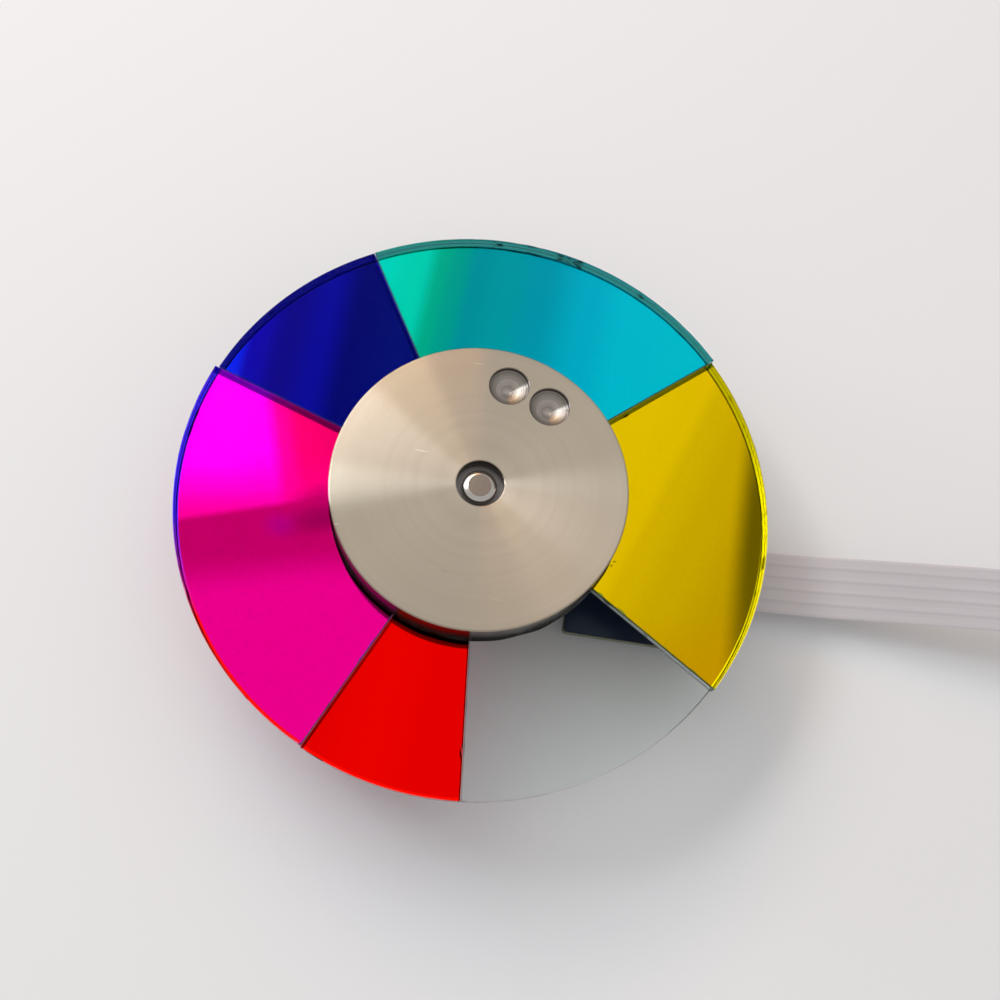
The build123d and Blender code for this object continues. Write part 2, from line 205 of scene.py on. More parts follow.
def show(name, mesh, body, materials, replaced=()):
    """A finished piece: it rides on its body and stands for the CAD nodes named last."""
    thing = linked(name, mesh)
    for place, material in enumerate(materials):
        if place < len(mesh.materials):
            mesh.materials[place] = material
        else:
            mesh.materials.append(material)
    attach(thing, body)
    if replaced:
        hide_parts(*replaced)
    return thing


def cut_out(name, mesh, cutters):
    """Mesh with other meshes taken out of it."""
    block = linked(name, mesh)
    tools = [linked(name + "_tool", cutter) for cutter in cutters]
    for tool in tools:
        cut = block.modifiers.new("cut", "BOOLEAN")
        cut.operation = "DIFFERENCE"
        cut.material_mode = "TRANSFER"
        cut.object = tool
    result = settled(block)
    for thing in tools + [block]:
        bpy.data.objects.remove(thing)
    return shaded(result)


def turned_size(node):
    """Outer radius, bottom and top of a turned CAD node, in mm."""
    low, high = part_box(node)
    return high.x / MM, low.z / MM, high.z / MM


base_radius, base_bottom, base_top = turned_size("base_plate")
base_break = 0.3
press_radius = 3.0
screw_circle = 6.2
screw_radius = 0.8
screw_angles = (60, 180, 300)
thread_pitch = 0.4
thread_depth = 0.12
thread_turns = 3
thread_start = base_bottom + 0.3
lead_in = 0.25
overrun = 0.1
base_outline = [
    (press_radius, base_bottom),
    (base_radius - base_break, base_bottom),
    (base_radius, base_bottom + base_break),
    (base_radius, base_top),
    (press_radius, base_top),
]
thread = [
    (0, base_bottom - overrun),
    (screw_radius + lead_in, base_bottom - overrun),
    (screw_radius, base_bottom + lead_in - overrun),
]
for turn in range(thread_turns):
    height = thread_start + turn * thread_pitch
    thread += [(screw_radius, height), (screw_radius + thread_depth, height + thread_pitch / 2)]
thread += [(screw_radius, base_top + overrun), (0, base_top + overrun)]
screw_holes = []
for angle in screw_angles:
    hole = turned_mesh("screw_hole", thread, 0.0, 48)
    place = Matrix.Translation((screw_circle * MM, 0, 0))
    hole.transform(Matrix.Rotation(radians(angle), 4, "Z") @ place)
    screw_holes.append(hole)
base_aluminium = turned_metal("turned_base_aluminium", "#B4B6B8", "#9C9EA1", 0.32, 0.16, 0.004, 0.5)
base_mesh = cut_out("base_plate", turned_mesh("base_plate", base_outline), screw_holes)
show("motor_base", base_mesh, "stator", [base_aluminium], ["base_plate"])


# Bearing. A brass tube is pressed into the base, and a steel disc closes its bottom. Inside are an
# oiled bronze sleeve and a plastic pad for the shaft's end. From below only the brass ring and the
# disc show, both with the tool's rings on them.
brass = turned_metal("turned_brass", "#C9A65A", "#B08D45", 0.28, 0.14, 0.004, 0.5)
bronze = turned_metal("oiled_sintered_bronze", "#8A6238", "#6E4B28", 0.55, 0.3, 0.006)
cover_steel = turned_metal("stamped_cover_steel", "#8F9092", "#7B7C7E", 0.34, 0.5, 0.003)


def moulded_plastic(name, colour, shade, roughness, grain):
    """Plain plastic: a fine moulded grain in the gloss and the surface."""
    material, tree = empty_material(name)
    place = add(tree, "ShaderNodeTexCoord").outputs["Object"]
    fine = add(tree, "ShaderNodeTexNoise", {}, {"Vector": place, "Scale": 1 / (grain * MM), "Detail": 3.0})
    broad = add(tree, "ShaderNodeTexNoise", {}, {"Vector": place, "Scale": 1 / (4 * MM), "Detail": 2.0})
    tone = add(tree, "ShaderNodeMix", {"data_type": "RGBA"},
               {"Factor": broad, 6: linear(colour), 7: linear(shade)})
    gloss = add(tree, "ShaderNodeMapRange", {},
                {"Value": fine, "To Min": roughness - 0.06, "To Max": roughness + 0.06})
    bump = add(tree, "ShaderNodeBump", {}, {"Height": fine, "Distance": 0.01 * MM, "Strength": 0.6})
    plastic = add(tree, "ShaderNodeBsdfPrincipled", {}, {
        "Base Color": tone.outputs[2], "Roughness": gloss, "Normal": bump})
    return surface(material, plastic)


def finish_node(node, material):
    nodes[node].material_slots[0].material = material


thrust_plastic = moulded_plastic("machined_acetal", "#DAD5C6", "#CFC9B8", 0.42, 0.15)
finish_node("bearing_housing", brass)
finish_node("bearing_sleeve", bronze)
finish_node("thrust_cover", cover_steel)
finish_node("thrust_pad", thrust_plastic)


# Circuit board. Glass-epoxy laminate 0.8 mm thick under a glossy navy solder mask. It was milled to
# its outline, so its edges show the pale laminate.
def eased_copy(node, width, angle=30.0, segments=2):
    """Copy of a CAD node's mesh, merged and with its sharp edges rounded."""
    form = bmesh.new()
    form.from_mesh(nodes[node].data)
    bmesh.ops.remove_doubles(form, verts=form.verts, dist=1e-6)
    bmesh.ops.dissolve_limit(form, angle_limit=radians(0.5), verts=form.verts, edges=form.edges)
    sharp = [e for e in form.edges if len(e.link_faces) == 2 and e.calc_face_angle(0) > radians(angle)]
    bmesh.ops.bevel(form, geom=sharp, offset=width * MM, offset_type="OFFSET", segments=segments,
                    profile=0.5, affect="EDGES", clamp_overlap=True)
    return mesh_of(node, form)


weave_width = 0.238
mask_cloud = 5.556
mask_break = 0.05


def solder_mask(name):
    """Navy mask: glossy, a little uneven, with paler laminate where the board was milled."""
    material, tree = empty_material(name)
    place = add(tree, "ShaderNodeTexCoord").outputs["Object"]
    weave = add(tree, "ShaderNodeTexNoise", {},
                {"Vector": place, "Scale": 1 / (weave_width * MM), "Detail": 2.0})
    clouds = add(tree, "ShaderNodeTexNoise", {},
                 {"Vector": place, "Scale": 1 / (mask_cloud * MM), "Detail": 3.0})
    mask = add(tree, "ShaderNodeMix", {"data_type": "RGBA"},
               {"Factor": clouds, 6: linear("#16294A"), 7: linear("#101D36")})
    laminate = add(tree, "ShaderNodeMix", {"data_type": "RGBA"},
                   {"Factor": weave, 6: linear("#8C8A6C"), 7: linear("#5D6355")})
    normal = add(tree, "ShaderNodeNewGeometry").outputs["True Normal"]
    axes = add(tree, "ShaderNodeSeparateXYZ", {}, {0: normal})
    upright = add(tree, "ShaderNodeMath", {"operation": "ABSOLUTE"}, {0: axes.outputs["Z"]})
    milled = add(tree, "ShaderNodeMapRange", {}, {"Value": upright, "From Min": 0.6, "From Max": 0.2})
    colour = add(tree, "ShaderNodeMix", {"data_type": "RGBA"},
                 {"Factor": milled, 6: mask.outputs[2], 7: laminate.outputs[2]})
    gloss = add(tree, "ShaderNodeMapRange", {}, {"Value": milled, "To Min": 0.28, "To Max": 0.75})
    bump = add(tree, "ShaderNodeBump", {}, {"Height": weave, "Distance": 0.006 * MM, "Strength": 0.4})
    board = add(tree, "ShaderNodeBsdfPrincipled", {}, {
        "Base Color": colour.outputs[2], "Roughness": gloss, "Specular IOR Level": 0.3,
        "Normal": bump})
    return surface(material, board)


navy_mask = solder_mask("navy_solder_mask_on_laminate")
show("motor_board", eased_copy("circuit_board", mask_break), "stator", [navy_mask],
     ["circuit_board"])


# Solder. Four heaps on the board's pads take the motor's leads, and four under the board's end
# take the cable. Tin alloy, flowed and set: bright, with soft slumped sides and a slightly
# grainy skin.
def grained(name, size, detail, finish, tones=None, gloss=None, relief=None, stretch=(1, 1, 1)):
    """Surface with one grain of a size in mm. Where they are given, it shows in the tone, between two
    colours, in the gloss, between two roughnesses, and as a relief with a depth in mm and a strength."""
    material, tree = empty_material(name)
    place = add(tree, "ShaderNodeTexCoord").outputs["Object"]
    drawn = add(tree, "ShaderNodeMapping", {}, {0: place, "Scale": stretch})
    grain = add(tree, "ShaderNodeTexNoise", {}, {"Vector": drawn, "Scale": 1 / (size * MM), "Detail": detail})
    inputs = dict(finish)
    if tones:
        tone = add(tree, "ShaderNodeMix", {"data_type": "RGBA"},
                   {"Factor": grain, 6: linear(tones[0]), 7: linear(tones[1])})
        inputs["Base Color"] = tone.outputs[2]
    if gloss:
        inputs["Roughness"] = add(tree, "ShaderNodeMapRange", {},
                                  {"Value": grain, "To Min": gloss[0], "To Max": gloss[1]})
    if relief:
        inputs["Normal"] = add(tree, "ShaderNodeBump", {},
                               {"Height": grain, "Distance": relief[0] * MM, "Strength": relief[1]})
    return surface(material, add(tree, "ShaderNodeBsdfPrincipled", {}, inputs))


# The grainy skin of set tin breaks its mirror shine.
solder = grained("flowed_solder", 0.385, 4.0, {"Base Color": linear("#C4C6C9"), "Metallic": 1.0},
                 gloss=(0.16, 0.42), relief=(0.03, 0.5))
for node in ("lead_joints", "cable_joints"):
    heaps = eased_copy(node, 0.14, 20.0, 3)
    show("solder_" + node, heaps, "stator", [solder], [node])


# Stator core. Nine wound teeth stamped from silicon steel about 0.35 mm thick, six sheets in a
# stack. The cut edges show as fine lines between the sheets, dark from the bonding varnish.
def group_input(tree, name, kind):
    return tree.interface.new_socket(name=name, in_out="INPUT", socket_type=kind)


def set_input(modifier, tree, name, value):
    """Sets a modifier's input by its socket's identifier."""
    for item in tree.interface.items_tree:
        if item.item_type == "SOCKET" and item.in_out == "INPUT" and item.name == name:
            modifier[item.identifier] = value


def grown(name, mesh, tree, values):
    """Plain mesh that a Geometry Nodes tree makes from a mesh."""
    seed = linked(name, mesh)
    modifier = seed.modifiers.new("grow", "NODES")
    modifier.node_group = tree
    for key, value in values.items():
        set_input(modifier, tree, key, value)
    result = settled(seed)
    seed.modifiers.remove(modifier)
    bpy.data.objects.remove(seed)
    return shaded(result)


def finished_tree(tree, entry, copies):
    """Ends a tree: its copies are made real and take the material that it is given."""
    tree.interface.new_socket(name="Geometry", in_out="OUTPUT", socket_type="NodeSocketGeometry")
    solid = add(tree, "GeometryNodeRealizeInstances", {}, {0: copies})
    dressed = add(tree, "GeometryNodeSetMaterial", {}, {0: solid, "Material": entry.outputs["Material"]})
    add(tree, "NodeGroupOutput", {}, {0: dressed})
    return tree


def sheet_stack():
    """Tree that stacks copies of one sheet upwards."""
    tree = bpy.data.node_groups.new("sheet_stack", "GeometryNodeTree")
    group_input(tree, "Sheet", "NodeSocketGeometry")
    group_input(tree, "Count", "NodeSocketInt")
    group_input(tree, "Pitch", "NodeSocketFloat")
    group_input(tree, "Material", "NodeSocketMaterial")
    entry = add(tree, "NodeGroupInput")
    step = add(tree, "ShaderNodeCombineXYZ", {}, {"Z": entry.outputs["Pitch"]})
    line = add(tree, "GeometryNodeMeshLine", {"mode": "OFFSET"},
               {"Count": entry.outputs["Count"], "Offset": step})
    sheets = add(tree, "GeometryNodeInstanceOnPoints", {},
                 {"Points": line, "Instance": entry.outputs["Sheet"]})
    return finished_tree(tree, entry, sheets)


core_low, core_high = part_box("stator_core")
sheet_count = 6
sheet_pitch = (core_high.z - core_low.z) / sheet_count
sheet_gap = 0.012 * MM
sheet_form = bmesh.new()
sheet_form.from_mesh(nodes["stator_core"].data)
bmesh.ops.remove_doubles(sheet_form, verts=sheet_form.verts, dist=1e-6)
for corner in sheet_form.verts:
    corner.co.z = core_low.z + (sheet_pitch - sheet_gap if corner.co.z > core_low.z + 1e-6 else 0.0)
# Rolled steel, dulled by its thin insulating varnish.
core_steel = grained("stamped_silicon_steel", 0.556, 4.0, {"Metallic": 0.8, "Roughness": 0.48},
                     tones=("#4A4C50", "#6A6B6E"), relief=(0.01, 0.5))
stack = grown("stator_stack", mesh_of("stator_sheet", sheet_form), sheet_stack(),
              {"Count": sheet_count, "Pitch": sheet_pitch, "Material": core_steel})
show("stator_stack", stack, "stator", [core_steel], ["stator_core"])


# Insulators. Two end plates follow the core's outline and keep the wire off the steel. They are
# moulded in ivory nylon, which gives them a soft sheen.
ivory_nylon = moulded_plastic("moulded_nylon", "#DCD8C8", "#CFCAB8", 0.48, 0.2)
for node in ("upper_insulator", "lower_insulator"):
    show(node.replace("insulator", "end_plate"), eased_copy(node, 0.04), "stator",
         [ivory_nylon], [node])


# Windings. Enamelled copper wire 0.2 mm thick, wound in two neat layers round each of the nine
# teeth. The enamel makes the copper darker and glossy. Four ends run out to the board.
def tooth_windings():
    """Tree that winds two layers of rounded turns round one tooth and repeats them round the core."""
    tree = bpy.data.node_groups.new("tooth_windings", "GeometryNodeTree")
    group_input(tree, "Tooth", "NodeSocketGeometry")
    sizes = ("Window Width", "Window Height", "Wire Radius", "Turn Pitch", "Layer Pitch", "Start", "Middle")
    for name in sizes:
        group_input(tree, name, "NodeSocketFloat")
    group_input(tree, "Turns", "NodeSocketInt")
    group_input(tree, "Teeth", "NodeSocketInt")
    group_input(tree, "Material", "NodeSocketMaterial")
    entry = add(tree, "NodeGroupInput")
    wire = add(tree, "GeometryNodeCurvePrimitiveCircle", {"mode": "RADIUS"},
               {"Resolution": 6, "Radius": entry.outputs["Wire Radius"]})
    step = add(tree, "ShaderNodeCombineXYZ", {}, {"X": entry.outputs["Turn Pitch"]})
    start = add(tree, "ShaderNodeCombineXYZ", {},
                {"X": entry.outputs["Start"], "Z": entry.outputs["Middle"]})
    line = add(tree, "GeometryNodeMeshLine", {"mode": "OFFSET"},
               {"Count": entry.outputs["Turns"], "Start Location": start, "Offset": step})
    joined = add(tree, "GeometryNodeJoinGeometry")
    for layer in range(2):
        grow = add(tree, "ShaderNodeMath", {"operation": "MULTIPLY"},
                   {0: entry.outputs["Layer Pitch"], 1: layer + 0.5})
        wide, tall = [add(tree, "ShaderNodeMath", {"operation": "MULTIPLY_ADD"},
                          {0: grow, 1: 2.0, 2: entry.outputs[window]})
                      for window in ("Window Width", "Window Height")]
        corner = add(tree, "ShaderNodeMath", {"operation": "MULTIPLY"}, {0: grow, 1: 1.4})
        loop = add(tree, "GeometryNodeCurvePrimitiveQuadrilateral", {"mode": "RECTANGLE"}, {0: wide, 1: tall})
        bent = add(tree, "GeometryNodeFilletCurve", {"mode": "POLY"},
                   {"Curve": loop, "Radius": corner, "Count": 3})
        turn = add(tree, "GeometryNodeCurveToMesh", {}, {0: bent, 1: wire})
        turns = add(tree, "GeometryNodeInstanceOnPoints", {},
                    {"Points": line, "Instance": turn, "Rotation": (pi / 2, 0, pi / 2)})
        tree.links.new(turns.outputs[0], joined.inputs[0])
    spokes = add(tree, "GeometryNodeMeshLine", {"mode": "OFFSET"},
                 {"Count": entry.outputs["Teeth"], "Offset": (0, 0, 0)})
    turned = add(tree, "ShaderNodeMath", {"operation": "MULTIPLY"},
                 {0: add(tree, "GeometryNodeInputIndex"), 1: 2 * pi})
    turned = add(tree, "ShaderNodeMath", {"operation": "DIVIDE"}, {0: turned, 1: entry.outputs["Teeth"]})
    angles = add(tree, "ShaderNodeCombineXYZ", {}, {"Z": turned})
    spread = add(tree, "GeometryNodeInstanceOnPoints", {},
                 {"Points": spokes, "Instance": joined, "Rotation": angles})
    return finished_tree(tree, entry, spread)


# Copper seen through baked enamel: a dark red metal under a clear coat.
copper = grained("enamelled_copper_wire", 1.111, 2.0,
                 {"Metallic": 1.0, "Roughness": 0.3, "Coat Weight": 0.6, "Coat Roughness": 0.15},
                 tones=("#B8663A", "#8E4524"))
tooth_width = 1.4
wire_radius = 0.1 * MM
wire_pitch = 0.21 * MM
layer_pitch = 0.2 * MM
coil_start = 4.5 * MM
coil_turns = 8
tooth_count = 9
slot_paper = 0.02
upper_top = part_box("upper_insulator")[1].z
lower_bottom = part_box("lower_insulator")[0].z
coils = grown("coil_turns", bpy.data.meshes.new("tooth"), tooth_windings(), {
    "Window Width": (tooth_width + 2 * slot_paper) * MM,
    "Window Height": upper_top - lower_bottom + slot_paper * MM,
    "Wire Radius": wire_radius, "Turn Pitch": wire_pitch, "Layer Pitch": layer_pitch,
    "Start": coil_start, "Middle": (upper_top + lower_bottom) / 2,
    "Turns": coil_turns, "Teeth": tooth_count, "Material": copper})
show("coil_turns", coils, "stator", [copper], ["coil_windings"])
finish_node("winding_leads", copper)


# Flat cable. White polyester ribbon 5 mm wide with four flat tinned conductors laminated in it,
# which show as faint grey stripes and as very low ridges. It is soldered under the board's end,
# rises in a low arch, twists a little towards the front and comes down to lie flat.
cable_width = 5.0
cable_thickness = 0.2
cable_angle = radians(2.0)
cable_root = (20.4, -0.86)
cable_route = [
    (14.8, 1.5), (25.2, 1.5), (35.4, 3.6), (45.4, 5.3), (55.2, 4.5),
    (64.6, 2.4), (73.4, 0.7), (82.0, 0.3), (89.8, 0.3),
]
cable_twist = radians(16.0)
twist_start, twist_full, twist_end = 21.0, 36.0, 62.0
cable_columns = 41
conductor_half = 0.36
conductor_ridge = 0.015
cut_edge = 0.06
edge_share = 0.35
stripe_edge = (0.3, 0.46)
stripe_reach = 0.38
film_grain = (0.0833, 6.25)


def cable_place(distance, side, height):
    """Row-frame point for a place along, across and above the cable's own line, in mm."""
    run = distance - cable_root[0]
    x = cable_root[0] + run * cos(cable_angle) - side * sin(cable_angle)
    y = cable_root[1] + run * sin(cable_angle) + side * cos(cable_angle)
    return Vector((x, y, height)) * MM


def route_line():
    """Points along the NURBS spline through the route's control points."""
    curve = bpy.data.curves.new("cable_line", "CURVE")
    curve.dimensions = "3D"
    spline = curve.splines.new("NURBS")
    spline.points.add(len(cable_route) - 1)
    for point, (distance, height) in zip(spline.points, cable_route):
        point.co = (*cable_place(distance, 0.0, height), 1.0)
    spline.order_u = 3
    spline.use_endpoint_u = True
    spline.resolution_u = 16
    line = linked("cable_line", curve)
    points = [v.co.copy() for v in settled(line).vertices]
    bpy.data.objects.remove(line)
    return points


def twist_at(distance):
    """How far the ribbon is rolled about its own line at a distance from the axis in mm."""
    rise = min(max((distance - twist_start) / (twist_full - twist_start), 0.0), 1.0)
    fall = min(max((twist_end - distance) / (twist_end - twist_full), 0.0), 1.0)
    share = min(rise, fall)
    return cable_twist * share * share * (3 - 2 * share)


def ribbon_mesh(line):
    """Ribbon that follows the line: its faces bulge by a hair over each conductor."""
    form = bmesh.new()
    across = [(i / (cable_columns - 1) - 0.5) * cable_width for i in range(cable_columns)]
    across += across[::-1]
    rows = []
    lengths = [0.0]
    for a, b in zip(line, line[1:]):
        lengths.append(lengths[-1] + (b - a).length)
    for i, point in enumerate(line):
        ahead = (line[min(i + 1, len(line) - 1)] - line[max(i - 1, 0)]).normalized()
        level = Vector((-sin(cable_angle), cos(cable_angle), 0))
        run = hypot(point.x / MM - cable_root[0], point.y / MM - cable_root[1])
        side = Matrix.Rotation(twist_at(run + cable_root[0]), 3, ahead) @ level
        top = ahead.cross(side)
        ring = []
        for column, step in enumerate(across):
            ridge = 0.0
            for lane in (-1.5, -0.5, 0.5, 1.5):
                ridge = max(ridge, 1 - min(abs(step - lane) / conductor_half, 1.0) ** 4)
            edge = min((cable_width / 2 - abs(step)) / cut_edge, 1.0)
            half = cable_thickness / 2 - conductor_ridge * (1 - ridge)
            half *= edge_share + (1 - edge_share) * sqrt(max(edge, 0.0))
            face = 1 if column < cable_columns else -1
            ring.append(form.verts.new(point + side * step * MM + top * face * half * MM))
        rows.append(ring)
    coords = form.loops.layers.uv.new("ribbon")
    count = len(rows[0])
    for k, (first, second) in enumerate(zip(rows, rows[1:])):
        for i in range(count):
            j = (i + 1) % count
            face = form.faces.new((first[i], first[j], second[j], second[i]))
            for loop, (column, row) in zip(face.loops, ((i, k), (j, k), (j, k + 1), (i, k + 1))):
                loop[coords].uv = (across[column] / cable_width + 0.5, lengths[row] / MM / cable_width)
    for ring, turn in ((rows[0], 1), (rows[-1], -1)):
        form.faces.new(ring[::turn])
    bmesh.ops.recalc_face_normals(form, faces=form.faces)
    return mesh_of("ribbon", form, 50.0)


def laminated_film(name):
    """White film: conductor stripes across its width, and a fine lengthwise drawing grain."""
    material, tree = empty_material(name)
    place = add(tree, "ShaderNodeUVMap", {"uv_map": "ribbon"})
    axes = add(tree, "ShaderNodeSeparateXYZ", {}, {0: place})
    lanes = add(tree, "ShaderNodeMath", {"operation": "MULTIPLY"}, {0: axes.outputs["X"], 1: cable_width})
    lane = add(tree, "ShaderNodeMath", {"operation": "FRACT"}, {0: lanes})
    middle = add(tree, "ShaderNodeMath", {"operation": "SUBTRACT"}, {0: lane, 1: 0.5})
    beside = add(tree, "ShaderNodeMath", {"operation": "ABSOLUTE"}, {0: middle})
    conductor = add(tree, "ShaderNodeMapRange", {"interpolation_type": "SMOOTHSTEP"},
                    {"Value": beside, "From Min": stripe_edge[0], "From Max": stripe_edge[1]})
    inside = add(tree, "ShaderNodeMath", {"operation": "SUBTRACT"}, {0: axes.outputs["X"], 1: 0.5})
    inside = add(tree, "ShaderNodeMath", {"operation": "ABSOLUTE"}, {0: inside})
    within = add(tree, "ShaderNodeMath", {"operation": "LESS_THAN"}, {0: inside, 1: stripe_reach})
    stripe = add(tree, "ShaderNodeMath", {"operation": "MULTIPLY"}, {0: conductor, 1: within})
    stretch = (cable_width / film_grain[0], cable_width / film_grain[1], 1.0)
    drawn = add(tree, "ShaderNodeMapping", {}, {0: place, "Scale": stretch})
    grain = add(tree, "ShaderNodeTexNoise", {}, {"Vector": drawn, "Scale": 1.0, "Detail": 3.0})
    white = add(tree, "ShaderNodeMix", {"data_type": "RGBA"},
                {"Factor": grain, 6: linear("#CFC9CC"), 7: linear("#C3BDC0")})
    colour = add(tree, "ShaderNodeMix", {"data_type": "RGBA"},
                 {"Factor": stripe, 6: white.outputs[2], 7: linear("#C0BABD")})
    bump = add(tree, "ShaderNodeBump", {}, {"Height": grain, "Distance": 0.008 * MM, "Strength": 0.5})
    film = add(tree, "ShaderNodeBsdfPrincipled", {}, {
        "Base Color": colour.outputs[2], "Roughness": 0.38, "Subsurface Weight": 0.08,
        "Subsurface Scale": 0.3 * MM, "Normal": bump})
    return surface(material, film)


white_film = laminated_film("laminated_polyester_film")
cable_line = route_line()
ribbon = show("flat_ribbon", ribbon_mesh(cable_line), "stator", [white_film], ["flat_cable"])
# Smooth blue polyester tape with a slight gloss.
blue_film = moulded_plastic("blue_polyester_tape", "#2450A6", "#1D4491", 0.3, 0.5)
# Tin plating, rolled lengthwise with the copper, so its shine is drawn out along each finger.
tin = grained("tin_plated_copper", 0.111, 3.0, {"Base Color": linear("#CDCAC2"), "Metallic": 1.0},
              gloss=(0.18, 0.36), stretch=(0.08, 1.0, 1.0))
stiffener = show("cable_tape", eased_copy("cable_stiffener", 0.04), "stator", [blue_film],
                 ["cable_stiffener"])
contacts = show("cable_fingers", eased_copy("cable_contacts", 0.03), "stator", [tin],
                ["cable_contacts"])


# Shaft. Ground and polished steel pin: its top end stands in the cap's hole with a wide bright
# chamfer round a small flat, and a split plastic washer holds it down inside the housing.
def corner_arc(centre_radius, centre_height, radius, steps=6):
    """Quarter round from the side to the top of an outline."""
    angles = [pi / 2 * i / steps for i in range(steps + 1)]
    return [(centre_radius + radius * cos(a), centre_height + radius * sin(a)) for a in angles]


shaft_radius, shaft_bottom, shaft_top = turned_size("shaft")
shaft_chamfer = (0.4, 0.14)
chamfer_break = (0.05, 0.08)
thrust_cone = 0.25
groove = (1.39, 1.73)
groove_depth = 0.35
shaft_outline = [
    (0, shaft_bottom),
    (shaft_radius, shaft_bottom + thrust_cone),
    (shaft_radius, groove[0]),
    (shaft_radius - groove_depth, groove[0]),
    (shaft_radius - groove_depth, groove[1]),
    (shaft_radius, groove[1]),
    (shaft_radius, shaft_top - shaft_chamfer[1] - chamfer_break[1]),
    (shaft_radius - chamfer_break[0], shaft_top - shaft_chamfer[1]),
    (shaft_radius - shaft_chamfer[0], shaft_top),
    (0, shaft_top),
]
shaft_steel = turned_metal("ground_shaft_steel", "#DAD5CF", "#C9C3BC", 0.2, 0.1, 0.0015)
# The cut end is rougher, and its colour is painted a dark brown-grey: a painted dark reflection on the small
# flat.
painted_dark_end = turned_metal("cut_shaft_end", "#8A7D72", "#7C7066", 0.42, 0.12, 0.002)
shaft_mesh = turned_mesh("motor_shaft", shaft_outline, 0.03, 96)
for face in shaft_mesh.polygons:
    face.material_index = int(face.normal.z > 0.99)
show("motor_shaft", shaft_mesh, "rotor", [shaft_steel, painted_dark_end], ["shaft"])
# Stamped from black polyester film: smooth, and neither matt nor glossy.
washer_film = moulded_plastic("stamped_polyester_film", "#38383A", "#2E2E30", 0.5, 0.1)
finish_node("retaining_washer", washer_film)


# Rotor cup. Deep-drawn steel 0.6 mm thick with a satin nickel plating and a rounded shoulder. The
# magnet is bonded inside, and a patch of matt black tape on the side gives the projector's sensor
# its mark.
cup_radius, cup_mouth, cup_top = turned_size("rotor_cup")
cup_wall = 0.6
cup_corner = 0.9
cup_draft = 0.02
rivet_radius = 2.5
cup_outline = [
    (rivet_radius, cup_top - cup_wall),
    (cup_radius - cup_wall - cup_draft, cup_top - cup_wall),
    (cup_radius - cup_wall, cup_mouth),
    (cup_radius, cup_mouth),
    *corner_arc(cup_radius - cup_corner, cup_top - cup_corner, cup_corner),
    (rivet_radius, cup_top),
]
cup_steel = turned_metal("satin_nickel_plated_steel", "#A8A6A2", "#928F8B", 0.3, 0.35, 0.003, 0.3)
show("drawn_cup", turned_mesh("drawn_cup", cup_outline, 0.03), "rotor", [cup_steel],
     ["rotor_cup"])
# Magnet powder pressed in a binder is dull and almost black, and the tape is blacker and duller.
bonded_magnet = moulded_plastic("bonded_magnet", "#2B2A2C", "#211F21", 0.55, 0.12)
black_tape = moulded_plastic("matt_black_tape", "#0C0C0D", "#121213", 0.8, 0.15)
finish_node("magnet_ring", bonded_magnet)
finish_node("timing_tape", black_tape)


# Hub. Turned from aluminium in one piece: a rivet boss that is rolled over inside the cup, a
# flange that the glass is glued on, a pilot that centres the glass, and a boss for the cap.
flange_radius, rivet_bottom, boss_top = turned_size("hub")
glass_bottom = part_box("filter_yellow")[0].z / MM
glass_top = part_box("filter_yellow")[1].z / MM
glue_line = 0.1
flange_top = glass_bottom - glue_line
flange_break = 0.15
pilot_radius = 6.4
pilot_rise = 0.6
pilot_top = glass_top + pilot_rise
boss_radius = 2.6
rivet_lip = 0.35
hub_outline = [
    (shaft_radius, rivet_bottom),
    (rivet_radius + rivet_lip, rivet_bottom),
    (rivet_radius + rivet_lip, cup_top - cup_wall),
    (rivet_radius, cup_top - cup_wall),
    (rivet_radius, cup_top),
    (flange_radius - flange_break, cup_top),
    (flange_radius, cup_top + flange_break),
    (flange_radius, flange_top),
    (pilot_radius, flange_top),
    (pilot_radius, pilot_top),
    (boss_radius, pilot_top),
    (boss_radius, boss_top),
    (shaft_radius, boss_top),
]
# The hub is left as the tool cut it, so it is duller than the cap, and its grey is painted dark as the shade
# down in the cap's hole and under the glass.
shaded_hub_aluminium = turned_metal("turned_hub_aluminium", "#75716F", "#615D5B", 0.38, 0.15, 0.004, 0.5)
show("turned_hub", turned_mesh("turned_hub", hub_outline), "rotor", [shaded_hub_aluminium], ["hub"])


# Glue. Clear adhesive between flange, glass and cap. Some of it is squeezed out round the cap's
# foot, where it sets as a low uneven bead that catches the light.
clear_glue = grained(
    "cured_clear_adhesive", 1.429, 2.0,
    {"Base Color": linear("#D8D4C8"), "Roughness": 0.08, "Transmission Weight": 1.0, "IOR": 1.48,
     "Specular Tint": (0.4, 0.4, 0.4, 1)}, relief=(0.03, 0.6))
finish_node("lower_glue", clear_glue)
cap_radius, cap_bottom, cap_top = turned_size("balance_cap")
bead_radius = turned_size("upper_glue")[0]
bead_height = 0.24
bead_swell = 0.7
bead_ripple = 2.381
glass_hole = 6.5
glue_outline = [
    (glass_hole, glass_top),
    (bead_radius - 0.06, glass_top),
    (bead_radius - 0.1, glass_top + 0.07),
    (cap_radius + 0.03, glass_top + 0.2),
    (cap_radius, glass_top + bead_height),
    (cap_radius, cap_bottom),
    (glass_hole, cap_bottom),
]
bead = turned_mesh("glue_bead", glue_outline, 0.02, 288)
for corner in bead.vertices:
    spot = Vector((corner.co.x, corner.co.y, 0))
    beyond = spot.length / MM - cap_radius
    if beyond > 0.01:
        swell = 1 + bead_swell * noise.noise(spot / (bead_ripple * MM))
        spot.length = (cap_radius + min(beyond * swell, bead_radius - cap_radius)) * MM
        corner.co.x, corner.co.y = spot.x, spot.y
show("glue_bead", bead, "rotor", [clear_glue], ["upper_glue"])
